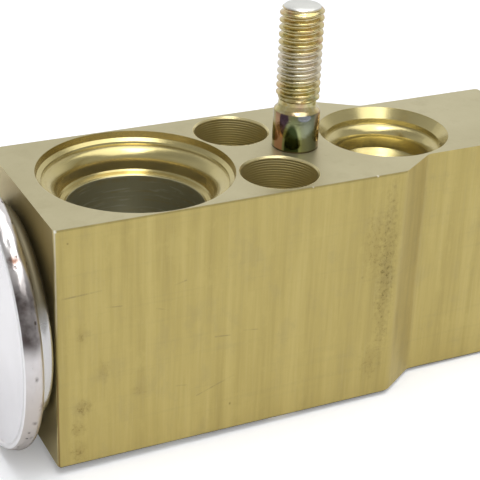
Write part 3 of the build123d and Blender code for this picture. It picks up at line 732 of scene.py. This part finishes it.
# Name, dark and light tone, least and greatest roughness
TURNED_METALS = (
    ("thin_steel", (0.6, 0.6, 0.61), (0.7, 0.7, 0.71), 0.2, 0.32),
    ("rod_aluminium", (0.62, 0.62, 0.63), (0.74, 0.74, 0.75), 0.25, 0.4),
    ("pin_steel", (0.58, 0.58, 0.6), (0.68, 0.68, 0.7), 0.12, 0.22),
    ("ball_steel", (0.64, 0.64, 0.66), (0.72, 0.72, 0.74), 0.06, 0.12),
    ("turned_brass", (0.58, 0.42, 0.16), (0.7, 0.53, 0.23), 0.2, 0.34),
    ("spring_steel", (0.26, 0.27, 0.29), (0.36, 0.37, 0.39), 0.25, 0.4),
)
SOFT_MATERIALS = (
    ("black_rubber", (0.012, 0.012, 0.012), (0.03, 0.03, 0.03), 0.5, 0.7),
    ("white_polymer", (0.68, 0.66, 0.6), (0.78, 0.76, 0.7), 0.35, 0.5),
)
MATERIALS = {
    "gold_aluminium": gold_aluminium(),
    "yellow_zinc": yellow_zinc(),
    "head_steel": head_steel(),
    "weld_steel": weld_steel(),
}
MATERIALS.update({row[0]: turned_metal(*row) for row in TURNED_METALS})
MATERIALS.update({row[0]: soft_material(*row) for row in SOFT_MATERIALS})


def dress_nodes():
    """Gives every CAD node the procedural material of its own slot."""
    for row in frame["record"]["subparts"]:
        mesh = frame["nodes"][row["node"]].data
        for index in range(len(mesh.materials)):
            mesh.materials[index] = MATERIALS[row["material_slot"]]


# ---- Meshes ----
def add_mesh(name, points, faces, material, smooth=True):
    mesh = bpy.data.meshes.new(name)
    mesh.from_pydata(points, [], faces)
    mesh.materials.append(material)
    if smooth:
        mesh.shade_smooth()
    made = bpy.data.objects.new(name, mesh)
    bpy.context.collection.objects.link(made)
    return made


def circle(count):
    """Angles of points spread evenly round an axis."""
    return [TURN * step / count for step in range(count)]


def ring_faces(rows, around, closed_rows=False):
    """Quads between rows of points that each run once round an axis."""
    faces = []
    for row in range(rows if closed_rows else rows - 1):
        here, there = row * around, (row + 1) % rows * around
        for step in range(around):
            turn = (step + 1) % around
            faces.append((here + step, here + turn, there + turn, there + step))
    return faces


def capped_faces(rows, around):
    """The quads of ring_faces, with a face over the first row and one over the last."""
    faces = ring_faces(rows, around)
    faces.append(tuple(range(around))[::-1])
    last = (rows - 1) * around
    faces.append(tuple(last + step for step in range(around)))
    return faces


# ---- Stud with a real thread ----
def thread_cut(phase):
    """Depth of the thread at a phase of its turn, from 0 on the crest to 1 at the root."""
    phase = abs(phase % 1.0 - 0.5) * 2.0
    slope = min(max((phase - CREST_SHARE) / (ROOT_SHARE - CREST_SHARE), 0.0), 1.0)
    return 0.5 * slope + 0.5 * slope * slope * (3.0 - 2.0 * slope)


def stud_radius_at(height, angle):
    """The threaded stud's radius above the neck."""
    phase = height / THREAD_PITCH - angle / TURN
    start = min(max((height - NECK_TOP + 0.3 * MM) / THREAD_RUN_IN, 0.0), 1.0)
    radius = STUD_RADIUS - THREAD_DEPTH * thread_cut(phase) * start
    below_tip = STUD_HIGH.z - height
    return min(radius, STUD_RADIUS - TIP_CHAMFER + below_tip)


def stud_rows():
    """Height, radius and the thread's share in it, from the hidden end to the tip."""
    plain = [
        (STUD_LOW.z + 0.3 * MM, COLLAR_RADIUS - 0.05 * MM),
        (TOP_Z - 0.45 * MM, COLLAR_RADIUS - 0.05 * MM),
        (TOP_Z - 0.4 * MM, COLLAR_RADIUS),
        (TOP_Z + 0.2 * MM, COLLAR_RADIUS),
        (COLLAR_TOP - COLLAR_EDGE * 1.1, COLLAR_RADIUS),
        (COLLAR_TOP - COLLAR_EDGE * 0.9, COLLAR_RADIUS - COLLAR_EDGE * 0.1),
        (COLLAR_TOP, COLLAR_RADIUS - COLLAR_EDGE),
        (COLLAR_TOP + 0.15 * MM, NECK_RADIUS + 0.12 * MM),
        (NECK_TOP - 0.35 * MM, NECK_RADIUS + 0.04 * MM),
        (NECK_TOP - 0.1 * MM, NECK_RADIUS + 0.02 * MM),
    ]
    rows = [(height, radius, 0.0) for height, radius in plain]
    count = int((STUD_HIGH.z - NECK_TOP) / THREAD_PITCH * THREAD_ROWS_PER_TURN)
    for row in range(count + 1):
        height = NECK_TOP + (STUD_HIGH.z - NECK_TOP) * row / count
        rows.append((height, NECK_RADIUS, min(row / THREAD_ROWS_FROM_NECK, 1.0)))
    return rows


def threaded_stud():
    points, rows = [], stud_rows()
    for height, plain_radius, share in rows:
        for angle in circle(THREAD_AROUND):
            radius = plain_radius * (1.0 - share) + stud_radius_at(height, angle) * share
            x = STUD.x + radius * math.cos(angle)
            y = STUD.y + radius * math.sin(angle)
            points.append((x, y, height))
    faces = capped_faces(len(rows), THREAD_AROUND)
    stud = add_mesh("threaded_stud", points, faces, MATERIALS["yellow_zinc"])
    stud.data.set_sharp_from_angle(angle=SHARP_ANGLE)
    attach(stud, "valve_body")
    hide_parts("mounting_stud")


# ---- Uneven weld bead round the head's rim ----
def bead_point(share, sag):
    """A point (x, radius) on the bead's rounded profile, from its front to its back."""
    half = (RIM_HIGH.x - RIM_LOW.x) / 2
    top = (RIM_HIGH.z - RIM_LOW.z) / 2 - BEAD_DROP - sag
    across = 2.0 * share - 1.0
    edge = FLANGE_RADIUS + (BEAD_STEP * (1.0 - share) if share < 1.0 else 0.0)
    swell = (1.0 - across * across) ** BEAD_SWELL
    return RIM_X + half * BEAD_WIDTH_SHARE * across, edge + (top - edge) * swell


def rim_bead():
    points = []

    def add_point(x, radius, angle):
        points.append((x, radius * math.cos(angle), AXIS_Z + radius * math.sin(angle)))

    for row in range(BEAD_ACROSS + 1):
        for angle in circle(BEAD_AROUND):
            way = math.cos(angle), math.sin(angle)
            ripple = noise.noise(Vector((*way, row * 0.03)) * 9.0)
            fine = noise.noise(Vector((*way, row * 0.2)) * 38.0)
            sag = BEAD_SAG * (0.5 + 0.5 * ripple) + BEAD_FINE_SAG * (1.0 + fine)
            add_point(*bead_point(row / BEAD_ACROSS, sag), angle)
    # Two inner rows close the bead against the flange
    for x in (RIM_HIGH.x - BEAD_INSET, RIM_LOW.x + BEAD_INSET):
        for angle in circle(BEAD_AROUND):
            add_point(x, FLANGE_RADIUS, angle)
    rows = BEAD_ACROSS + 3
    faces = ring_faces(rows, BEAD_AROUND, closed_rows=True)
    bead = add_mesh("rim_bead", points, faces, MATERIALS["weld_steel"])
    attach(bead, "valve_body")
    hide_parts("rim_weld_bead")


# ---- Spring in two halves ----
def half_spring(name, first, last):
    """A stretch of the coil, from one share of its length to another, with ends ground flat."""
    coil_radius = (SPRING_HIGH.z - SPRING_LOW.z) / 2 - WIRE_RADIUS - COIL_PLAY
    rise = (SPRING_HIGH.x - SPRING_LOW.x + WIRE_RADIUS) / (COIL_TURNS * TURN)
    rows = int((last - first) * COIL_TURNS * COIL_ROWS_PER_TURN) + 1
    points = []
    for row in range(rows):
        share = first + (last - first) * row / (rows - 1)
        angle = share * COIL_TURNS * TURN
        outward = Vector((0.0, math.cos(angle), math.sin(angle)))
        forward = Vector((rise, -coil_radius * math.sin(angle), coil_radius * math.cos(angle)))
        sideways = forward.normalized().cross(outward)
        start = Vector((SPRING_LOW.x - WIRE_RADIUS / 2 + rise * angle, 0.0, AXIS_Z))
        centre = start + outward * coil_radius
        for turn in circle(WIRE_AROUND):
            around = outward * math.cos(turn) + sideways * math.sin(turn)
            point = centre + around * WIRE_RADIUS
            point.x = min(max(point.x, SPRING_LOW.x), SPRING_HIGH.x)
            points.append(tuple(point))
    faces = capped_faces(rows, WIRE_AROUND)
    spring = add_mesh(name, points, faces, MATERIALS["spring_steel"])
    spring.data.set_sharp_from_angle(angle=SHARP_ANGLE)
    length = SPRING_HIGH.x - SPRING_LOW.x
    start, finish = [(SPRING_LOW.x + length * share, 0.0, AXIS_Z) for share in (first, last)]
    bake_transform(spring)
    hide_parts("bias_spring")


# ---- Camera, floor and light ----
def add_camera():
    lens = bpy.data.cameras.new("camera")
    lens.sensor_width = SENSOR_WIDTH
    lens.lens = SENSOR_WIDTH * FOCAL_PIXELS / FRAME_PIXELS
    lens.clip_start = 0.01
    lens.clip_end = 20.0
    camera = bpy.data.objects.new("camera", lens)
    turn = Matrix.Rotation(CAMERA_AZIMUTH, 4, "Z")
    turn = turn @ Matrix.Rotation(math.pi / 2 - CAMERA_DOWN, 4, "X")
    turn = turn @ Matrix.Rotation(CAMERA_ROLL, 4, "Z")
    camera.matrix_world = Matrix.Translation(CAMERA_PLACE) @ turn
    bpy.context.collection.objects.link(camera)
    bpy.context.scene.camera = camera


def add_floor():
    """A pale floor that touches the head's rim and the far end of the block."""
    drop = BLOCK_LOW.z - RIM_LOW.z
    tilt = math.atan2(drop, BLOCK_HIGH.x - RIM_X)
    low, high = -FLOOR_HALF, FLOOR_HALF
    corners = [(low, low, 0.0), (high, low, 0.0), (high, high, 0.0), (low, high, 0.0)]

    g = Surface("floor")
    g.shader.inputs["Base Color"].default_value = (*FLOOR_COLOUR, 1.0)
    g.shader.inputs["Roughness"].default_value = FLOOR_ROUGH
    # It glows to the camera alone, and more so far away, to end in white
    far = g.node("ShaderNodeMapRange")
    far.inputs["From Min"].default_value = FLOOR_NEAR
    far.inputs["From Max"].default_value = FLOOR_FAR
    far.inputs["To Min"].default_value = FLOOR_LIFT
    far.inputs["To Max"].default_value = 1.0
    g.feed(far.inputs["Value"], g.vector("LENGTH", g.place))
    seen = g.node("ShaderNodeLightPath").outputs["Is Camera Ray"]
    g.shader.inputs["Emission Color"].default_value = (1.0, 1.0, 1.0, 1.0)
    glow = g.product(seen, far.outputs["Result"])
    g.feed(g.shader.inputs["Emission Strength"], glow)

    floor = add_mesh("floor", corners, [(0, 1, 2, 3)], g.material, smooth=False)
    turn = Matrix.Rotation(-tilt, 4, "Y")
    floor.matrix_world = Matrix.Translation((BLOCK_HIGH.x, 0.0, 0.0)) @ turn


def add_world():
    """White to the camera; a pale studio that darkens overhead in reflections."""
    world = bpy.data.worlds.new("studio")
    bpy.context.scene.world = world
    g = Tree(world)
    way = g.node("ShaderNodeTexCoord").outputs["Generated"]
    high = g.mask(g.axes(way)["Z"], *WORLD_HIGH_FADE)
    backdrop = g.mask(g.vector("DOT_PRODUCT", way, BACKDROP_WAY), *BACKDROP_FADE)
    low = g.blended(backdrop, WORLD_MIRRORED_SIDE, WORLD_MIRRORED_LOW)
    mirrored = g.blended(high, low, WORLD_MIRRORED_HIGH)
    rays = g.node("ShaderNodeLightPath").outputs
    strength = g.blended(rays["Is Glossy Ray"], WORLD_LIGHT, mirrored)
    strength = g.blended(rays["Is Camera Ray"], strength, 1.0)
    background = g.nodes["Background"]
    background.inputs["Color"].default_value = (1.0, 1.0, 1.0, 1.0)
    g.feed(background.inputs["Strength"], strength)


def add_soft_box(name, place, size, turn, radiance):
    """A rectangular soft box over the floor that faces straight down, with an even glow."""
    lamp = bpy.data.lights.new(name, "AREA")
    lamp.shape = "RECTANGLE"
    lamp.size, lamp.size_y = size
    lamp.energy = radiance * math.pi * size[0] * size[1]
    made = bpy.data.objects.new(name, lamp)
    upward = Vector((0.0, 0.0, place[2]))
    facing = upward.to_track_quat("Z", "Y").to_matrix().to_4x4()
    turned = Matrix.Rotation(math.radians(turn), 4, "Z")
    made.matrix_world = Matrix.Translation(place) @ facing @ turned
    bpy.context.collection.objects.link(made)


dress_nodes()
threaded_stud()
rim_bead()
half_spring("spring_stem_half", 0.0, 0.5)
half_spring("spring_screw_half", 0.5, 1.0)
add_floor()
add_world()
for soft_box in SOFT_BOXES:
    add_soft_box(*soft_box)
add_camera()
bpy.context.scene.view_settings.view_transform = "Standard"
